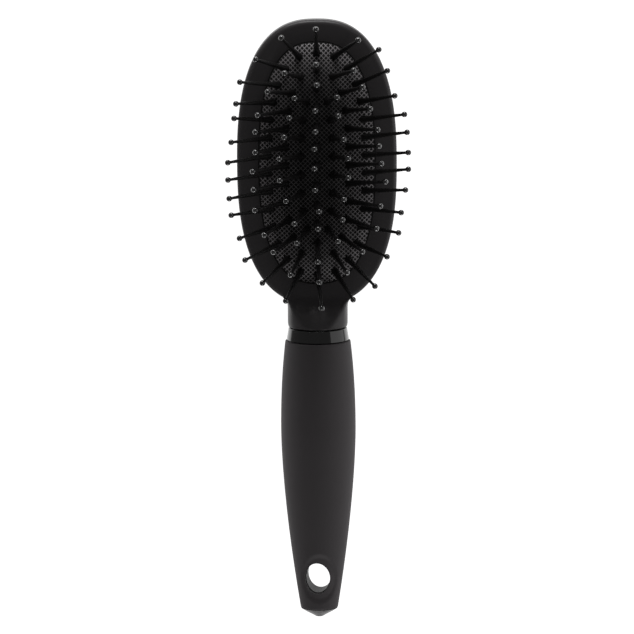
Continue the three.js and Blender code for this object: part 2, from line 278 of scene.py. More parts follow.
def along_line(points, place):
    """The height at a place on a line through points, given from high to low."""
    if place >= points[0][0]:
        return points[0][1]
    for (far, z_far), (near, z_near) in zip(points, points[1:]):
        if place >= near:
            return z_far + (z_near - z_far) * (far - place) / (far - near)
    return points[-1][1]


def ramp_height(y):
    """The ramp, averaged over a short distance so that it has no corners."""
    steps = range(-BLUR_STEPS, BLUR_STEPS + 1)
    samples = [along_line(RAMP_LINE, y / MM + RAMP_BLUR * step / BLUR_STEPS) for step in steps]
    return sum(samples) / len(samples) * MM


def neck_height(x, y):
    half = along_line([(y_of, half_of) for half_of, y_of in reversed(neck_profile)], y)
    return axis_height + math.sqrt(max(0, half * half - x * x)) + CLEAR


def front_height(x, y):
    ramp, neck_top = ramp_height(y), neck_height(x, y)
    mix = max(0, SOFT_EDGE - abs(ramp - neck_top)) / SOFT_EDGE
    return max(rim_height, min(ramp, neck_top) - mix * mix * SOFT_EDGE / 4)


print("over the head's end the ramp is", round(ramp_height(head_end) / MM, 2), "mm high")

# %% [markdown]
# The cutter is a fine grid, pulled up into a block by one extrusion. Its outermost lines are pushed far
# out, so the block covers the whole rim, and a Boolean difference takes away what it covers. Bisecting
# would be simpler, but a plane can't follow the ramp.

# %% Cut the front
CUT_LINES = 84
LAST_LINE = 0.999
BLOCK_HALF = 50 * MM
BLOCK_HEIGHT = 40 * MM
PAST_HEAD = 5 * MM
fine_low, fine_high = neck_end + GAP, head_end + 6 * MM
fine_half = NECK_HALF + 2.2 * MM
let_go()
bpy.ops.mesh.primitive_grid_add(x_subdivisions=CUT_LINES, y_subdivisions=CUT_LINES, size=2)
block = bpy.context.object
block.name = "front_cutter"
for vertex in block.data.vertices:
    across, along = vertex.co.x, (vertex.co.y + 1) / 2
    at_side, at_top = abs(across) > LAST_LINE, along > LAST_LINE
    x = math.copysign(BLOCK_HALF, across) if at_side else fine_half * across
    y = head_high.y + PAST_HEAD if at_top else fine_low + (fine_high - fine_low) * along
    vertex.co = (x, y, rim_height if at_side or at_top else front_height(x, y))
bpy.ops.object.mode_set(mode="EDIT")
bpy.ops.mesh.select_all(action="SELECT")
bpy.ops.mesh.extrude_region_move(TRANSFORM_OT_translate={"value": (0, 0, BLOCK_HEIGHT)})
bpy.ops.mesh.select_all(action="SELECT")
bpy.ops.mesh.normals_make_consistent(inside=False)
bpy.ops.object.mode_set(mode="OBJECT")
combine(head, block, "DIFFERENCE")
smooth(head, 28)
print("after the cut the head has", len(head.data.polygons), "faces")

# %% [markdown]
# ## The cushion
#
# The cushion is a skin of black rubber, blown up into a low dome by the air behind it and pressed with
# a raised diagonal lattice like a coarse cloth. A bump texture could draw the lattice, but it would be
# flat in the mesh. A grid turned by 45 degrees has its lines along the lattice, so every sixth line is
# the top of a rib, and the relief is real shape. The dome's height is a law of nested ovals: the same
# height all round an oval, and less the nearer that oval is to the edge.

# %% The dome
RIDGE_RADIUS = 6.5 * MM
DOME_POWER = 2.4
RIB_PITCH = 1.31 * MM
RIB_LINES = 6


def half_length(half):
    return half + stretch * min(1, half / RIDGE_RADIUS)


def oval_half_at(x, y):
    """Half the width of the nested oval that passes through a point, by halving."""
    low, high = 0.0, head_half * 1.5
    while high - low > TINY:
        middle = (low + high) / 2
        inside = (abs(x) / middle) ** OVAL_POWER + (abs(y) / half_length(middle)) ** OVAL_POWER
        low, high = (middle, high) if inside > 1 else (low, middle)
    return high


def dome(half):
    return rim_height + DOME_HEIGHT * (1 - (half / pad_half) ** DOME_POWER)


spacing = RIB_PITCH / RIB_LINES
reach = pad_half + half_length(pad_half)
grid_lines = 2 * round(reach / math.sqrt(2) / spacing)
let_go()
bpy.ops.mesh.primitive_grid_add(
    x_subdivisions=grid_lines,
    y_subdivisions=grid_lines,
    size=grid_lines * spacing,
    rotation=(0, 0, math.pi / 4),
)
pad = bpy.context.object
pad.name = "cushion"
bpy.ops.object.transform_apply(location=False, rotation=True, scale=False)
print("the grid has", len(pad.data.vertices), "points")

# %% [markdown]
# The grid is square and the cushion is oval, so the points outside the outline are deleted. A Boolean
# could cut it, but it would leave slivers along the edge. The points that are left on the edge are
# found with the operator that turns a region into its loop.

# %% Trim the grid to the oval
EDGE_SHARE = 0.35
inner_outline = pad_half - EDGE_SHARE * spacing


def inside_outline(x, y):
    across = abs(x) / inner_outline
    along = abs(y) / half_length(inner_outline)
    return across**OVAL_POWER + along**OVAL_POWER < 1


pick(pad)
bpy.ops.object.mode_set(mode="EDIT")
bpy.ops.mesh.select_mode(type="VERT")
bpy.ops.mesh.select_all(action="DESELECT")
bpy.ops.object.mode_set(mode="OBJECT")
for vertex in pad.data.vertices:
    vertex.select = not inside_outline(vertex.co.x, vertex.co.y)
bpy.ops.object.mode_set(mode="EDIT")
bpy.ops.mesh.delete(type="VERT")
bpy.ops.mesh.select_all(action="SELECT")
bpy.ops.mesh.delete_loose()
bpy.ops.mesh.select_all(action="SELECT")
bpy.ops.mesh.region_to_loop()
bpy.ops.object.mode_set(mode="OBJECT")
edge_points = {vertex.index for vertex in pad.data.vertices if vertex.select}
print("the trimmed cushion has", len(pad.data.vertices), "points,", len(edge_points), "on its edge")

# %% [markdown]
# Now each point is lifted onto the dome, the points on a rib a little higher. The edge points are drawn
# onto the outline, and the ribs fade out before it. They are also lower in the middle, where the rubber
# is stretched most, and there the finish paints them darker, as painted shade of the pins. How high a
# point stands on its rib is kept, because the finish needs it later.

# %% Raise the dome and the lattice
RIB_HEIGHT = 0.25 * MM
RIB_SHAPE = (1.0, 0.45, 0.0, 0.0)
MIDDLE_SHARE = 0.58
FADE = 0.7 * MM
diagonal = math.sqrt(0.5)
ribs = []
for vertex in pad.data.vertices:
    x, y = vertex.co.x, vertex.co.y
    half = oval_half_at(x, y)
    if vertex.index in edge_points:
        y_share = half_length(pad_half) / half_length(half)
        vertex.co = (x * pad_half / half, head_centre + y * y_share, rim_height)
        ribs.append(0.0)
        continue
    u = round((x + y) * diagonal / spacing)
    v = round((y - x) * diagonal / spacing)
    steps_off = [min(line % RIB_LINES, -line % RIB_LINES) for line in (u, v)]
    # Lower in the middle: the same value makes the rib colour darker there, painted shade of the pins.
    relaxed_and_shaded = MIDDLE_SHARE + (1 - MIDDLE_SHARE) * (half / pad_half) ** 2
    height = relaxed_and_shaded * max(RIB_SHAPE[step] for step in steps_off)
    fade = min(1, (pad_half - half) / FADE)
    vertex.co = (x, head_centre + y, dome(half) + RIB_HEIGHT * height * fade)
    ribs.append(height)
print("the dome is", round(max(vertex.co.z for vertex in pad.data.vertices) / MM, 2), "mm high")

# %% [markdown]
# The skin's edge turns down into the groove and hooks under the ring there. Extruding the edge loop
# down, in, and back up under the dome makes that skirt and the inner wall in one go. A Solidify modifier
# would need far more faces, because it would copy the lattice to the inside too.

# %% Turn the edge down into the groove and close the skin from inside
PAD_WALL = 1.3 * MM
SKIRT = 9 * MM
INNER_SHARES = [0.999, 0.97, 0.9, 0.78, 0.6, 0.4, 0.2, 0.05]
CROWN_WALL = 1.3 * PAD_WALL
inner_half = pad_half - PAD_WALL
pick(pad)
bpy.ops.object.mode_set(mode="EDIT")
centre = (0, head_centre, 0)
bpy.ops.mesh.extrude_region_move(TRANSFORM_OT_translate={"value": (0, 0, -SKIRT)})
walk = [(pad_half, rim_height - SKIRT), (inner_half, rim_height - SKIRT)]
walk += [(inner_half * share, dome(inner_half * share) - CROWN_WALL) for share in INNER_SHARES]
for (old, old_z), (new, new_z) in zip(walk, walk[1:]):
    bpy.ops.mesh.extrude_region_move(TRANSFORM_OT_translate={"value": (0, 0, new_z - old_z)})
    ratio = (new / old, half_length(new) / half_length(old), 1)
    bpy.ops.transform.resize(value=ratio, center_override=centre)
bpy.ops.mesh.edge_face_add()
bpy.ops.mesh.select_all(action="SELECT")
bpy.ops.mesh.normals_make_consistent(inside=False)
bpy.ops.object.mode_set(mode="OBJECT")
ribs += [0.0] * (len(pad.data.vertices) - len(ribs))
lattice = pad.data.attributes.new("lattice", "FLOAT", "POINT")
lattice.data.foreach_set("value", ribs)
smooth(pad, 60)
print("the cushion has", len(pad.data.polygons), "faces")

# %% [markdown]
# ## The pins
#
# Each pin is a moulded nylon pin: a foot under the cushion, a cone where it leaves the rubber, a
# slender stem and a polished ball. It could be a cylinder with a sphere on top, but one grown ring
# gives the taper and the neck under the ball without a seam. It is grown once, standing on the origin.
# An attribute marks the ball's faces, because they take another finish.

# %% Grow one pin
PIN_LENGTH = 21 * MM
BALL = 1.17 * MM
FOOT_TOP = -2 * MM
PIN_SIDES = 14
pin_profile = [
    (1.2 * MM, FOOT_TOP - 0.9 * MM),
    (1.55 * MM, FOOT_TOP - 0.7 * MM),
    (1.55 * MM, FOOT_TOP - 0.15 * MM),
    (0.8 * MM, FOOT_TOP),
    (0.8 * MM, -0.6 * MM),
    (1.62 * MM, -0.35 * MM),
    (1.55 * MM, 0.5 * MM),
    (1.36 * MM, 1.7 * MM),
    (1.18 * MM, 3.2 * MM),
    (1.03 * MM, 5.5 * MM),
    (0.89 * MM, 9 * MM),
    (0.78 * MM, 13 * MM),
    (0.64 * MM, 17 * MM),
    (0.55 * MM, PIN_LENGTH - 1.9 * BALL),
]
BALL_RINGS = 8
CAP_ANGLE = 0.12
BALL_NECK = 0.58 * MM
neck_angle = math.asin(BALL_NECK / BALL)
for step in range(BALL_RINGS):
    angle = neck_angle + (math.pi - neck_angle - CAP_ANGLE) * step / (BALL_RINGS - 1)
    pin_profile.append((BALL * math.sin(angle), PIN_LENGTH - BALL * math.cos(angle)))
pin = grow("pin", [(half, half, z) for half, z in pin_profile], "Z", sides=PIN_SIDES)
smooth(pin, 45)
ball_mark = pin.data.attributes.new("ball", "INT", "FACE")
ball_low = PIN_LENGTH - 0.95 * BALL
on_ball = [int(polygon.center.z > ball_low) for polygon in pin.data.polygons]
ball_mark.data.foreach_set("value", on_ball)
print("one pin has", len(pin.data.polygons), "faces,", sum(on_ball), "of them on its ball")

# %% [markdown]
# The pins stand in three rings, a set distance apart along each oval, and in one row down the middle.
# They lean outwards, more towards the sides and ends, as the dome makes them. Placing them by hand is
# quick for one pin and hopeless for all of them, so one law gives every place and every lean.

# %% Where the pins stand
RINGS = {"outer": 30, "middle": 24, "inner": 18}
PINS_PER_STRIP = 3
CENTRE_PINS = 7
OUTER_INSET = 4 * MM
SIDE_LEAN, SIDE_POWER = 1.08, 1.2
END_LEAN, END_POWER = 0.42, 3
OUTLINE_STEPS = 1440
outer_half = pad_half - OUTER_INSET
ring_pitch = outer_half / len(RINGS)
centre_pitch = half_length(ring_pitch) / ((CENTRE_PINS + 1) / 2)


def ring_points(half, count):
    """Points at equal distances along an oval, the first at its top."""
    outline = []
    for step in range(OUTLINE_STEPS + 1):
        angle = math.pi / 2 - 2 * math.pi * step / OUTLINE_STEPS
        x = half * signed_power(math.cos(angle), 2 / OVAL_POWER)
        y = half_length(half) * signed_power(math.sin(angle), 2 / OVAL_POWER)
        outline.append(Vector((x, y)))
    lengths = [0.0]
    for one, other in zip(outline, outline[1:]):
        lengths.append(lengths[-1] + (other - one).length)
    points = []
    index = 0
    for k in range(count):
        target = lengths[-1] * k / count
        while lengths[index + 1] <= target:
            index += 1
        share = (target - lengths[index]) / (lengths[index + 1] - lengths[index])
        points.append(outline[index].lerp(outline[index + 1], share))
    return points


def pin_place(x, y):
    """Where a pin leaves the cushion, and the direction that it leans."""
    lean_x = SIDE_LEAN * signed_power(x / outer_half, SIDE_POWER)
    lean_y = END_LEAN * signed_power(y / half_length(outer_half), END_POWER)
    base = Vector((x, head_centre + y, dome(oval_half_at(x, y))))
    return base, Vector((lean_x, lean_y, 1)).normalized()


print("the rings are", round(ring_pitch / MM, 2), "mm apart")

# %% [markdown]
# A real pin sits in soft rubber, so it also leans a little by itself. Random numbers could do this, but
# then no two brushes would be the same one. So every pin's own lean is written out: how much it adds
# across and along, in hundredths of a slope. Without it the pins look drawn with a ruler.

# %% How each pin leans by itself
OWN_LEANS = {
    "outer": [
        (-2, 15), (20, 5), (18, 30), (-5, 27), (-13, 16), (15, 21), (20, 24), (22, 18), (23, 22),
        (5, 14), (-8, 4), (1, 2), (-13, -3), (1, -26), (6, -11), (7, -16), (-1, -12), (5, -13),
        (-4, -12), (9, -8), (-9, -1), (-8, -7), (-10, -6), (-10, -8), (7, -1), (10, 12), (-1, -1),
        (-19, 2), (-8, 4), (-6, 10),
    ],
    "middle": [
        (-2, -9), (11, 0), (-7, 9), (-10, 8), (-2, 6), (-3, 12), (3, 14), (20, 15), (6, 3),
        (6, -3), (-9, -5), (-5, -4), (2, -2), (7, -8), (8, -5), (7, -14), (-7, -5), (-5, -1),
        (-7, -2), (1, 0), (-4, 3), (-8, -4), (-3, 1), (-2, -5),
    ],
    "inner": [
        (-1, 1), (-2, 9), (-13, 14), (-9, 7), (-2, 7), (-2, 6), (-9, 1), (-6, 0), (-2, -1),
        (-1, -9), (-1, -4), (8, -7), (-3, -2), (-14, 1), (-15, 7), (-6, 12), (-1, 11), (-4, 8),
    ],
    "centre": [
        (-4, -2), (-4, 0), (-6, 6), (-6, 6), (-5, 3), (2, 1), (0, 9),
    ],
}


def lean_more(place, own):
    base, direction = place
    return base, (direction / direction.z + Vector((own[0] / 100, own[1] / 100, 0))).normalized()


print("own leans for", sum(len(leans) for leans in OWN_LEANS.values()), "pins")

# %% [markdown]
# The model moves the pins in strips of three neighbours, and the middle row as one strip. Each strip is
# one piece here too, so the pins are shared out in the same way. The middle pin of a strip must stand
# on the strip's hinge, which is a good test of the whole layout.

# %% Share the pins out among the strips
strips = {}
for ring, (ring_name, count) in enumerate(RINGS.items()):
    points = ring_points(outer_half - ring * ring_pitch, count)
    places = [lean_more(pin_place(x, y), own) for (x, y), own in zip(points, OWN_LEANS[ring_name])]
    for strip in range(count // PINS_PER_STRIP):
        members = [places[(strip * PINS_PER_STRIP + side) % count] for side in (-1, 0, 1)]
        strips[f"{ring_name}_{strip + 1:02d}"] = members
row = [((CENTRE_PINS - 1) / 2 - step) * centre_pitch for step in range(CENTRE_PINS)]
strips["centre_row"] = [lean_more(pin_place(0, y), own) for y, own in zip(row, OWN_LEANS["centre"])]
pivots = {joint["name"]: Vector(joint["pos_m"]) for joint in frame["joints"] if "pos_m" in joint}
worst = max(
    (pivots[f"tilt_{key}"] - members[len(members) // 2][0]).length for key, members in strips.items()
)
print(len(strips), "strips; their middle pins are within", round(worst / MM, 2), "mm of their hinges")

# %% [markdown]
# Each copy of the pin gets its own mesh, turned from upright to its lean and moved to its place. The
# turn goes into the mesh and not onto the object, so every strip ends up as one object at the origin.

# %% Copy the pin to every place and join the pins of each strip
strip_pieces = {}
for key, members in strips.items():
    copies = []
    for base, direction in members:
        copy = pin.copy()
        copy.data = pin.data.copy()
        bpy.context.collection.objects.link(copy)
        upright = Vector((0, 0, 1)).rotation_difference(direction)
        copy.data.transform(Matrix.Translation(base) @ upright.to_matrix().to_4x4())
        copies.append(copy)
    let_go()
    for copy in copies:
        copy.select_set(True)
    bpy.context.view_layer.objects.active = copies[0]
    bpy.ops.object.join()
    strip_pieces[key] = bpy.context.object
    strip_pieces[key].name = f"pin_strip_{key}"
bpy.data.objects.remove(pin, do_unlink=True)
print(sum(len(members) for members in strips.values()), "pins stand in", len(strip_pieces), "strips")

# %% [markdown]
# ## The collar
#
# A short polished ring hides the joint between neck and handle. It widens a little towards the grip.
# It could be a tube with a Bevel modifier. Growing the ring's section draws the cone and both round
# edges at once, and a round edge is what catches the thin bright lines on polished plastic.

# %% Grow the collar
COLLAR_FRONT = 11.7 * MM
COLLAR_REAR = 12.4 * MM
COLLAR_BORE = 8.8 * MM
EDGE = 0.35 * MM
collar_profile = [(COLLAR_BORE, collar_low.y)]
for angle in quarter(5):
    half = COLLAR_REAR - EDGE * (1 - math.sin(angle))
    collar_profile.append((half, collar_low.y + EDGE * (1 - math.cos(angle))))
for angle in quarter(5):
    half = COLLAR_FRONT - EDGE * (1 - math.cos(angle))
    collar_profile.append((half, collar_high.y - EDGE * (1 - math.sin(angle))))
collar_profile += [(COLLAR_BORE, collar_high.y), (COLLAR_BORE, collar_low.y)]
rings = [(half, half, y) for half, y in collar_profile]
collar = grow("collar", rings, sides=ROUND_SIDES, centre=(0, axis_height), hollow=True)
smooth(collar, 50)
print("the collar has", len(collar.data.polygons), "faces")

# %% [markdown]
# ## The handle
#
# The grip is a soft-touch sleeve over a hard core. It swells to its widest a third of the way along,
# then narrows to the end, where it is also flatter. Both laws are powers of the distance from the
# belly. A subdivided box could be pushed into this shape, but a law gives the same clean line on every
# side. The sleeve is a tube with a real wall, so the hanging hole shows its edge and the core inside.

# %% The grip's outline
grip_length = grip_start - grip_stop
BELLY_AT = 36 * MM
GRIP_FRONT, GRIP_BELLY, GRIP_END = 25.9 * MM, 29.8 * MM, 14.9 * MM
DEPTH_BELLY, DEPTH_END = 29.7 * MM, 11.6 * MM
FRONT_POWER, WIDTH_POWER, DEPTH_POWER = 2.2, 1.6, 1.35
SLEEVE_WALL = 1.8 * MM
SLEEVE_EDGE = 0.45 * MM
FINE_FROM = 84 * MM


def taper(belly, front, end, end_power, along):
    if along < BELLY_AT:
        return belly - (belly - front) * ((BELLY_AT - along) / BELLY_AT) ** FRONT_POWER
    share = min(1, (along - BELLY_AT) / (grip_length - BELLY_AT))
    return belly - (belly - end) * share**end_power


def grip_station(along, inset=0.0):
    half_width = taper(GRIP_BELLY, GRIP_FRONT, GRIP_END, WIDTH_POWER, along) / 2
    half_depth = taper(DEPTH_BELLY, GRIP_FRONT, DEPTH_END, DEPTH_POWER, along) / 2
    return (half_width - inset, half_depth - inset, grip_start - along)


def grip_stations(inset, coarse, fine, edge=0.0):
    """Stations from front to rear, closer together round the hole, with both ends rounded by edge."""
    rounding = [(edge * (1 - math.cos(angle)), edge * (1 - math.sin(angle))) for angle in quarter(5)]
    alongs = [edge + (FINE_FROM - edge) * step / coarse for step in range(coarse)]
    alongs += [FINE_FROM + (grip_length - edge - FINE_FROM) * step / fine for step in range(fine + 1)]
    found = [grip_station(along, inset) for along in alongs]
    if edge:
        front = [grip_station(into, inset + drop) for into, drop in rounding[:-1]]
        rear = [grip_station(grip_length - into, inset + drop) for into, drop in rounding[:-1]]
        found = front + found + rear[::-1]
    return found


outer = grip_stations(0, 44, 44, SLEEVE_EDGE)
inner = grip_stations(SLEEVE_WALL, 12, 12)
sleeve = grow("grip", outer + inner[::-1] + outer[:1], sides=112, centre=(0, axis_height), hollow=True)
print("the sleeve has", len(sleeve.data.polygons), "faces")

# %% [markdown]
# Around the hanging hole the surface dips in a shallow dish, which guides the hook in. Proportional
# editing would press it by hand. Here every point inside an oval is moved towards the middle of the
# handle, on both faces, with a short slope at the dish's edge.

# %% Press the dish round the hanging hole
HOLE_FROM_END = 13.3 * MM
hole_y = grip_stop + HOLE_FROM_END
HOLE_HALF = (4.75 * MM, 6.3 * MM)
DISH_HALF = (7.4 * MM, 10.6 * MM)
DISH_DEPTH = 0.55 * MM
DISH_SLOPE = 6


def press_dish(piece):
    for vertex in piece.data.vertices:
        x, y, z = vertex.co.x, vertex.co.y - hole_y, vertex.co.z - axis_height
        reach = math.hypot(x / DISH_HALF[0], y / DISH_HALF[1])
        if reach < 1:
            vertex.co.z -= math.copysign(DISH_DEPTH * min(1, DISH_SLOPE * (1 - reach)), z)


press_dish(sleeve)
print("the dish is", 2 * DISH_HALF[0] / MM, "by", 2 * DISH_HALF[1] / MM, "mm")

# %% [markdown]
# The hole is an oval rod taken away with a Boolean difference. It leans a little, as in the moulding, so
# more of its wall shows on one side. The sleeve's hole is slightly wider than the core's.

# %% Cut the hanging hole
HOLE_LEAN = math.radians(-7)
SLEEVE_STEP = 0.25 * MM


def hole_cutter(step):
    """An oval rod through the handle, leaning a little, as the hole in the moulding does."""
    reach = GRIP_BELLY
    rings = [(HOLE_HALF[0] + step, HOLE_HALF[1] + step, z) for z in (-reach, reach)]
    cutter = grow("hole_cutter", rings, "Z", sides=72)
    turn = Matrix.Rotation(HOLE_LEAN, 4, "Y")
    cutter.data.transform(Matrix.Translation((0, hole_y, axis_height)) @ turn)
    return cutter


combine(sleeve, hole_cutter(SLEEVE_STEP), "DIFFERENCE")
smooth(sleeve, 40)
print("with its hole the sleeve has", len(sleeve.data.polygons), "faces")

# %% [markdown]
# The hard core fills the sleeve and makes the wall that is seen inside the hole. It follows the sleeve's
# own stations, set in by the wall and a gap, so it has the same dish and the same hole.

# %% Grow the core
core_inset = SLEEVE_WALL + GAP
core = grow("core", grip_stations(core_inset, 10, 24), sides=72, centre=(0, axis_height))
press_dish(core)
combine(core, hole_cutter(0), "DIFFERENCE")
smooth(core, 40)
print("the core has", len(core.data.polygons), "faces")

# %% [markdown]
# The end plug closes the sleeve: a blunt cone in a slightly shinier plastic. A cone primitive would have
# a sharp tip and edge, so it is grown like the collar, from its rounded tip inwards. Its face is as flat
# as the end of the grip, and its stem goes into the core.

# %% Grow the end plug
PLUG_GAP = 0.1 * MM
plug_face = grip_stop - PLUG_GAP
flatness = DEPTH_END / GRIP_END
plug_profile = [
    (0.8 * MM, plug_low.y),
    (1.4 * MM, plug_low.y + 0.1 * MM),
    (1.95 * MM, plug_low.y + 0.4 * MM),
    (2.6 * MM, plug_low.y + 0.8 * MM),
    (4.0 * MM, plug_low.y + 1.6 * MM),
    (5.5 * MM, plug_low.y + 2.4 * MM),
    (7.0 * MM, plug_face - 0.3 * MM),
    (7.3 * MM, plug_face - 0.1 * MM),
    (7.25 * MM, plug_face),
    (2.2 * MM, plug_face),
    (2.2 * MM, plug_face + 2.6 * MM),
]
rings = [(half, half * flatness, y) for half, y in plug_profile]
plug = grow("plug", rings, sides=72, centre=(0, axis_height))
smooth(plug, 30)
print("the plug has", len(plug.data.polygons), "faces")

# %% [markdown]
# ## Finishes
#
# Every finish on this brush is black or nearly so, and what tells them apart is how they throw light
# back: a fine-grained moulding, ribbed rubber, satin nylon, polished balls, a polished collar and a
# soft-touch coat. Most of them mix a little uneven colour and roughness from noise and add grain as
# bump. A plain black would be simpler, but it looks like a drawing. Patterns read Object coordinates,
# so they stay fixed on the piece.

# %% A helper for node materials
def new_material(name, base, roughness, specular=0.5):
    material = bpy.data.materials.new(name)
    material.use_nodes = True
    shader = material.node_tree.nodes["Principled BSDF"]
    shader.inputs["Base Color"].default_value = (*base, 1)
    shader.inputs["Roughness"].default_value = roughness
    shader.inputs["Specular IOR Level"].default_value = specular
    return material, shader


def node(material, kind, **inputs):
    made = material.node_tree.nodes.new(kind)
    for name, value in inputs.items():
        made.inputs[name.replace("_", " ")].default_value = value
    return made


def wire(material, source, output, target, entry):
    material.node_tree.links.new(source.outputs[output], target.inputs[entry])


def noise(material, scale, detail=2.0, rough=0.5):
    """Noise over Object coordinates; scale is in bumps to the metre."""
    place = node(material, "ShaderNodeTexCoord")
    made = node(material, "ShaderNodeTexNoise", Scale=scale, Detail=detail, Roughness=rough)
    wire(material, place, "Object", made, "Vector")
    return made


def ramp(material, source, output, low, high, stops=(0.3, 0.7)):
    made = material.node_tree.nodes.new("ShaderNodeValToRGB")
    made.color_ramp.elements[0].position = stops[0]
    made.color_ramp.elements[1].position = stops[1]
    made.color_ramp.elements[0].color = (*low, 1)
    made.color_ramp.elements[1].color = (*high, 1)
    wire(material, source, output, made, "Fac")
    return made


def grain(material, shader, scale, distance, strength=1.0, detail=3.0):
    """Fine surface grain as bump."""
    source = noise(material, scale, detail)
    bump = node(material, "ShaderNodeBump", Strength=strength, Distance=distance)
    wire(material, source, "Fac", bump, "Height")
    wire(material, bump, "Normal", shader, "Normal")
    return bump


def uneven(material, shader, low, high, rough_low, rough_high, scale):
    """Slowly changing colour and roughness, as of wear and handling."""
    source = noise(material, scale, 4.0, 0.6)
    colour = ramp(material, source, "Fac", low, high)
    wire(material, colour, "Color", shader, "Base Color")
    dull = ramp(material, source, "Fac", (rough_low,) * 3, (rough_high,) * 3)
    wire(material, dull, "Color", shader, "Roughness")


def grey(value, warm=0.04):
    """A nearly neutral grey; warm makes it a little redder and takes a little green out."""
    return (value * (1 + warm), value * (1 - warm), value)


print("a black of 0.048 is", tuple(round(part, 4) for part in grey(0.048)))

# %% [markdown]
# The head, neck and tang are one moulding with a fine, even grain. The rubber is told by its ribs. Their
# tops are painted light, a painted highlight where they catch the light, and the cells between them are
# painted near black, painted shade in the hollows, and dull. The height kept on each point as "lattice"
# drives both colour and roughness.

# %% Moulded plastic and ribbed rubber
RIB_STOPS = (0.3, 0.9)
body_plastic, shader = new_material("body_plastic", grey(0.048), 0.36, 0.38)
uneven(body_plastic, shader, grey(0.046), grey(0.05), 0.34, 0.4, 60)
grain(body_plastic, shader, 4200, 0.02 * MM, 0.35)

cushion_rubber, shader = new_material("cushion_rubber", grey(0.02), 0.6, 0.5)
mark = node(cushion_rubber, "ShaderNodeAttribute")
mark.attribute_name = "lattice"
# Painted highlight and painted shade: this ramp paints the rib tops light and the cells near black.
ribs_highlight_and_cell_shade = ramp(cushion_rubber, mark, "Fac", grey(0.002), grey(0.2), RIB_STOPS)
wire(cushion_rubber, ribs_highlight_and_cell_shade, "Color", shader, "Base Color")
ribs_rough = ramp(cushion_rubber, mark, "Fac", (1.0,) * 3, (0.36,) * 3, RIB_STOPS)
wire(cushion_rubber, ribs_rough, "Color", shader, "Roughness")
grain(cushion_rubber, shader, 9000, 0.015 * MM, 0.5)
print("made", body_plastic.name, "and", cushion_rubber.name)

# %% [markdown]
# The stems of the pins are satin nylon. Their balls are dipped and polished, so each of them throws
# back one small sharp light. A clear coat does this better than a low roughness alone.

# %% Nylon stems and polished balls
pin_nylon, shader = new_material("pin_nylon", grey(0.008), 0.38, 0.45)
uneven(pin_nylon, shader, grey(0.007), grey(0.0095), 0.34, 0.42, 220)
grain(pin_nylon, shader, 5200, 0.01 * MM, 0.3)

pin_ball, shader = new_material("pin_ball", grey(0.006), 0.06, 1.0)
shader.inputs["Coat Weight"].default_value = 1.0
shader.inputs["Coat Roughness"].default_value = 0.03
uneven(pin_ball, shader, grey(0.005), grey(0.007), 0.05, 0.08, 400)
print("made", pin_nylon.name, "and", pin_ball.name)

# %% [markdown]
# The collar is polished and the grip beside it is the opposite: a soft-touch coat, dull all over, with
# only a trace of sheen. Seen side by side, the two show where the handle begins.

# %% Polished collar and soft-touch grip
collar_gloss, shader = new_material("collar_gloss", grey(0.004), 0.08, 0.55)
shader.inputs["Coat Weight"].default_value = 0.8
shader.inputs["Coat Roughness"].default_value = 0.03
uneven(collar_gloss, shader, grey(0.0035), grey(0.005), 0.1, 0.16, 150)
grain(collar_gloss, shader, 900, 0.01 * MM, 0.08)

grip_soft_touch, shader = new_material("grip_soft_touch", grey(0.085), 0.62, 0.13)
shader.inputs["Sheen Weight"].default_value = 0.02
shader.inputs["Sheen Roughness"].default_value = 0.4
uneven(grip_soft_touch, shader, grey(0.082), grey(0.088), 0.58, 0.66, 45)
grain(grip_soft_touch, shader, 7000, 0.012 * MM, 0.3)
print("made", collar_gloss.name, "and", grip_soft_touch.name)

# %% [markdown]
# The core only shows inside the hanging hole, where its wall has faint layers, one above another. A wave
# texture draws them. The plug is a lighter plastic with a scuffed, mottled face.

# %% Layered core and scuffed plug
core_plastic, shader = new_material("core_plastic", grey(0.026), 0.5, 0.3)
layers = node(core_plastic, "ShaderNodeTexWave", Scale=220, Distortion=1.0, Detail=1.0)
layers.bands_direction = "Z"
wire(core_plastic, node(core_plastic, "ShaderNodeTexCoord"), "Object", layers, "Vector")
lines = ramp(core_plastic, layers, "Fac", grey(0.006), grey(0.05), (0.2, 0.8))
wire(core_plastic, lines, "Color", shader, "Base Color")
grain(core_plastic, shader, 2600, 0.02 * MM, 0.3)

plug_plastic, shader = new_material("plug_plastic", grey(0.1, 0.02), 0.32, 0.5)
uneven(plug_plastic, shader, grey(0.05, 0.02), grey(0.15, 0.02), 0.2, 0.4, 700)
grain(plug_plastic, shader, 1500, 0.02 * MM, 0.25)
print("made", core_plastic.name, "and", plug_plastic.name)

# %% [markdown]
# ## Riding on the frame
#
# Each piece takes its finish and rides on its body, and the CAD part that it replaces is hidden. The
# cushion is a soft piece that flattens towards its edge when the brush is pressed; here it rides on the
# head. The pins ride on their own strips. The ring that holds the
# cushion's skirt stays as the CAD made it and only takes a finish.

# %% Dress the pieces
def dress(piece, body, material, slot, *nodes):
    piece.data.materials.clear()
    piece.data.materials.append(material)
    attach(piece, body)
    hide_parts(*nodes)


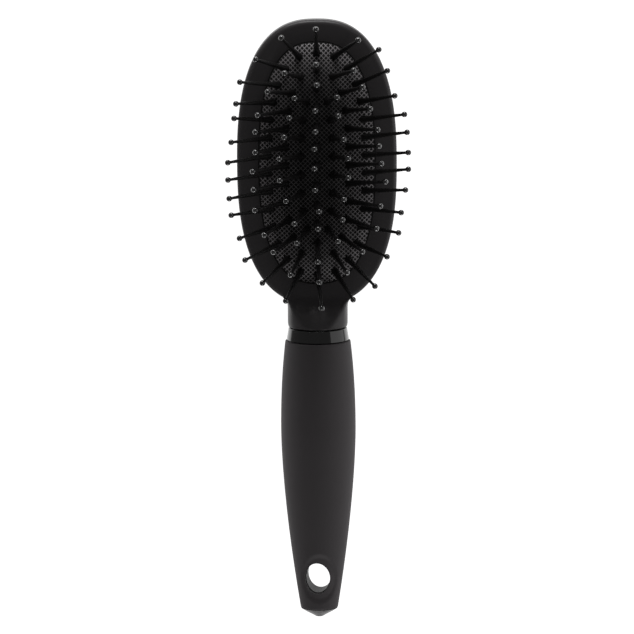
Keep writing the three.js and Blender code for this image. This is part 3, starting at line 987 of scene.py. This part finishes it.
dress(head, "root", body_plastic, "body_plastic", "head_body")
dress(collar, "root", collar_gloss, "collar_gloss", "collar_ring")
dress(sleeve, "root", grip_soft_touch, "grip_soft_touch", "grip_sleeve")
dress(core, "root", core_plastic, "core_plastic", "handle_core")
dress(plug, "root", plug_plastic, "plug_plastic", "end_plug")
dress(pad, "root", cushion_rubber, "cushion_rubber", "cushion_pad")
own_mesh(pad)
for key, piece in strip_pieces.items():
    on_ball = [mark.value for mark in piece.data.attributes["ball"].data]
    piece.data.materials.append(pin_nylon)
    piece.data.materials.append(pin_ball)
    piece.data.polygons.foreach_set("material_index", on_ball)
    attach(piece, f"pins_{key}")
    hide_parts(f"pins_{key}")
ring_node = frame["nodes"]["pad_ring"]
ring_node.data.materials.clear()
ring_node.data.materials.append(core_plastic)
print(6 + len(strip_pieces), "pieces are dressed")

# %% [markdown]
# ## Floor, light and camera
#
# The brush lies on a white table in a dark studio. The table glows evenly, as it does when it is lit
# from below, so there is no shadow on it. It is hidden from reflections, or the sides of the brush
# would turn white.

# %% The table
TABLE_SIZE = 60
let_go()
bpy.ops.mesh.primitive_plane_add(size=TABLE_SIZE)
floor = bpy.context.object
floor.name = "table"
table_white, shader = new_material("table_white", (0.8, 0.8, 0.8), 0.9, 0.1)
uneven(table_white, shader, grey(0.79, 0), grey(0.81, 0), 0.88, 0.92, 3)
shader.inputs["Emission Color"].default_value = (1, 1, 1, 1)
shader.inputs["Emission Strength"].default_value = 1.0
floor.data.materials.append(table_white)
floor.visible_glossy = False
print("the table is", TABLE_SIZE, "m square")

# %% [markdown]
# The studio is white below, where the table would be seen, and dark above. It is also white wherever the
# camera looks at it directly. Dark overhead is what keeps black plastic black and shows its shape by
# bright edges alone. An even white world would be quicker, but it turns everything grey.

# %% The studio
AMBIENT = 0.125
WHITE_UP_TO, DARK_FROM = 0.2, 0.27
COLOUR_A, COLOUR_B, COLOUR_RESULT = 6, 7, 2
world = bpy.data.worlds.new("studio")
bpy.context.scene.world = world
world.use_nodes = True
tree = world.node_tree
background = tree.nodes["Background"]
where = tree.nodes.new("ShaderNodeTexCoord")
split = tree.nodes.new("ShaderNodeSeparateXYZ")
shift = tree.nodes.new("ShaderNodeMapRange")
fade = tree.nodes.new("ShaderNodeValToRGB")
shift.inputs["From Min"].default_value = -1
tree.links.new(where.outputs["Generated"], split.inputs["Vector"])
tree.links.new(split.outputs["Z"], shift.inputs["Value"])
tree.links.new(shift.outputs["Result"], fade.inputs["Fac"])
fade.color_ramp.elements[0].position = WHITE_UP_TO
fade.color_ramp.elements[0].color = (1, 1, 1, 1)
fade.color_ramp.elements[1].position = DARK_FROM
fade.color_ramp.elements[1].color = (AMBIENT, AMBIENT, AMBIENT, 1)
seen = tree.nodes.new("ShaderNodeLightPath")
choose = tree.nodes.new("ShaderNodeMix")
choose.data_type = "RGBA"
tree.links.new(seen.outputs["Is Camera Ray"], choose.inputs["Factor"])
tree.links.new(fade.outputs["Color"], choose.inputs[COLOUR_A])
choose.inputs[COLOUR_B].default_value = (1, 1, 1, 1)
tree.links.new(choose.outputs[COLOUR_RESULT], background.inputs["Color"])
print("overhead the studio glows at", AMBIENT)

# %% [markdown]
# The lamps are soft boxes, and they stand low: a strong one beyond the top of the head, a large soft one
# on the right and a smaller one beyond the end of the handle. Low light skims over the dome, so the
# ribs of the rubber stand out. Every lamp points at the middle of the brush.

# %% The lamps
LIT_POINT = Vector((0, 0, 0.02))


def softbox(name, place, size, power):
    lamp_data = bpy.data.lights.new(name, "AREA")
    lamp_data.shape = "RECTANGLE"
    lamp_data.size, lamp_data.size_y = size
    lamp_data.energy = power
    lamp = bpy.data.objects.new(name, lamp_data)
    bpy.context.collection.objects.link(lamp)
    lamp.location = place
    lamp.rotation_euler = (LIT_POINT - Vector(place)).to_track_quat("-Z", "Y").to_euler()
    lamp.visible_camera = False


softbox("key", (-0.05, 1.25, 0.16), (0.8, 0.26), 7)
softbox("right", (1.2, 0.1, 0.2), (1.4, 1.6), 3.8)
softbox("low", (0.1, -1.3, 0.3), (0.9, 0.4), 5.2)

# %% [markdown]
# The camera looks down from far away through a long lens, so the brush keeps its true outline. It is
# tilted a little towards the handle, which shows the slope of the neck, and it is turned by fractions
# of a degree. Pointing it with a Track To constraint is easier, but that can't roll it.

# %% The camera
CAMERA_DISTANCE = 1.3
SENSOR, LENS = 36, 186
TILT, SWING, ROLL = (math.radians(angle) for angle in (9.2, -0.6, -0.33))
AIM = Vector((-0.31, 2.03, 15)) * MM
forward = -Vector((math.sin(SWING) * math.cos(TILT), math.sin(TILT), math.cos(SWING) * math.cos(TILT)))
right = forward.cross(Vector((0, 1, 0))).normalized()
upward = right.cross(forward)
rolled_right = right * math.cos(ROLL) + upward * math.sin(ROLL)
rolled_up = upward * math.cos(ROLL) - right * math.sin(ROLL)
camera_data = bpy.data.cameras.new("camera")
camera_data.sensor_width = SENSOR
camera_data.lens = LENS
camera = bpy.data.objects.new("camera", camera_data)
bpy.context.collection.objects.link(camera)
place = Matrix((rolled_right, rolled_up, -forward)).transposed().to_4x4()
place.translation = AIM - forward * CAMERA_DISTANCE
camera.matrix_world = place
bpy.context.scene.camera = camera
bpy.context.scene.view_settings.view_transform = "Standard"
print("the camera stands at", [round(side, 3) for side in place.translation], "m")
